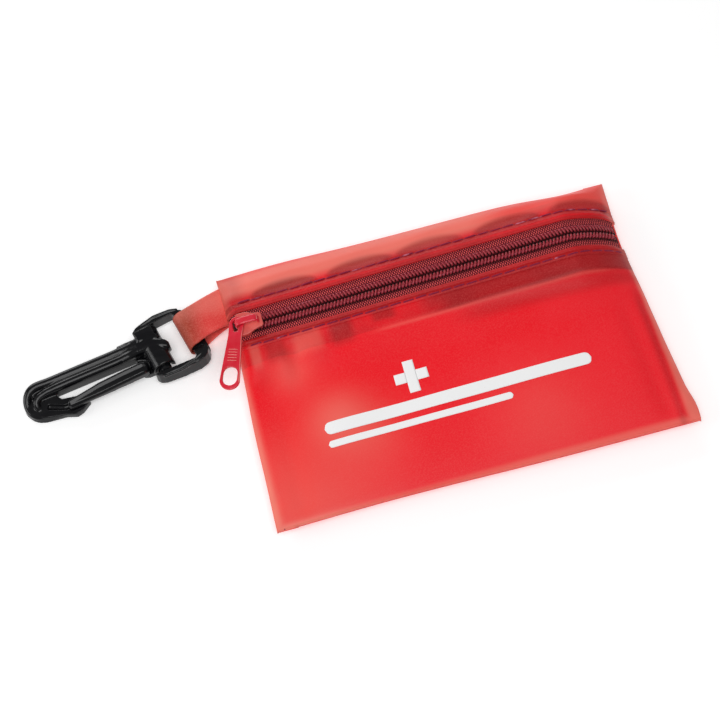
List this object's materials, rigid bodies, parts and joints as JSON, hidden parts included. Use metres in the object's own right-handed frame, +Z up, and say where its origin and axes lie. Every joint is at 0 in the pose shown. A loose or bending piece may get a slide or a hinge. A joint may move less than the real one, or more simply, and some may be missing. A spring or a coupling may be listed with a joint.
{
  "type": "first aid kit",
  "caption": "Small see-through red vinyl zip pouch holding packed first aid supplies, with a folded hanging strap and a swivelling black plastic snap hook.",
  "frame": {"origin": "centre of the pouch's flat back, where it rests on a surface", "axes": "+X along the zipper, away from the hook; +Y across the pouch towards its zipper edge; +Z up, out of the front face"},
  "size_m": [0.2018, 0.089, 0.0165],
  "materials": {
    "vinyl": "translucent satin vinyl sheet with a fine embossed grain",
    "strap_vinyl": "satin vinyl sheet",
    "zipper_tape": "woven polyester tape",
    "zipper_coil": "satin nylon coil",
    "thread": "twisted sewing thread",
    "slider_paint": "semi-gloss paint",
    "black_plastic": "glossy moulded plastic",
    "paper": "matte paper",
    "paper_wrapper": "matte sealed paper wrapper",
    "sachet_foil": "satin laminated foil"
  },
  "bodies": {
    "pouch": {"back_panel": "vinyl", "front_lower_panel": "vinyl", "front_upper_panel": "vinyl", "zipper_tape_lower": "zipper_tape", "zipper_tape_upper": "zipper_tape", "zipper_coil_lower": "zipper_coil", "zipper_coil_upper": "zipper_coil", "stitching_lower": "thread", "stitching_upper": "thread", "side_seam_left": "thread", "side_seam_right": "thread", "hanging_strap": "strap_vinyl", "first_aid_leaflet": "paper", "gauze_pad_1": "paper_wrapper", "gauze_pad_2": "paper_wrapper", "antiseptic_wipe_1": "sachet_foil", "antiseptic_wipe_2": "sachet_foil", "antiseptic_wipe_3": "sachet_foil", "adhesive_bandage_1": "paper_wrapper", "adhesive_bandage_2": "paper_wrapper", "adhesive_bandage_3": "paper_wrapper", "adhesive_bandage_4": "paper_wrapper", "adhesive_bandage_5": "paper_wrapper", "ointment_sachet": "sachet_foil"},
    "slider": {"slider_body": "slider_paint"},
    "tab": {"pull_tab": "slider_paint"},
    "ring": {"clip_ring": "black_plastic"},
    "hook": {"hook_body": "black_plastic"},
    "gate": {"hook_gate": "black_plastic"}
  },
  "joints": [
    {"name": "zipper_slide", "type": "slide", "parent": "pouch", "child": "slider", "axis": [0.9985, 0, 0.0548], "range_m": [0, 0.0995]},
    {"name": "tab_swing", "type": "hinge", "parent": "slider", "child": "tab", "pos_m": [-0.06281, 0.0235, 0.01259], "axis": [-0.0548, 0, 0.9985], "range_deg": [-220, 70]},
    {"name": "ring_swing", "type": "hinge", "parent": "pouch", "child": "ring", "pos_m": [-0.07751, 0.02868, 0.0042], "axis": [-0.2588, 0.9659, 0], "range_deg": [-70, 85]},
    {"name": "hook_swing", "type": "hinge", "parent": "ring", "child": "hook", "pos_m": [-0.09007, 0.02531, 0.0042], "axis": [-0.2588, 0.9659, 0], "range_deg": [-90, 90]},
    {"name": "gate_flex", "type": "hinge", "parent": "hook", "child": "gate", "pos_m": [-0.09521, 0.0203, 0.0042], "axis": [0, 0, -1], "range_deg": [0, 9], "stiffness_Nm_per_rad": 0.02}
  ]
}
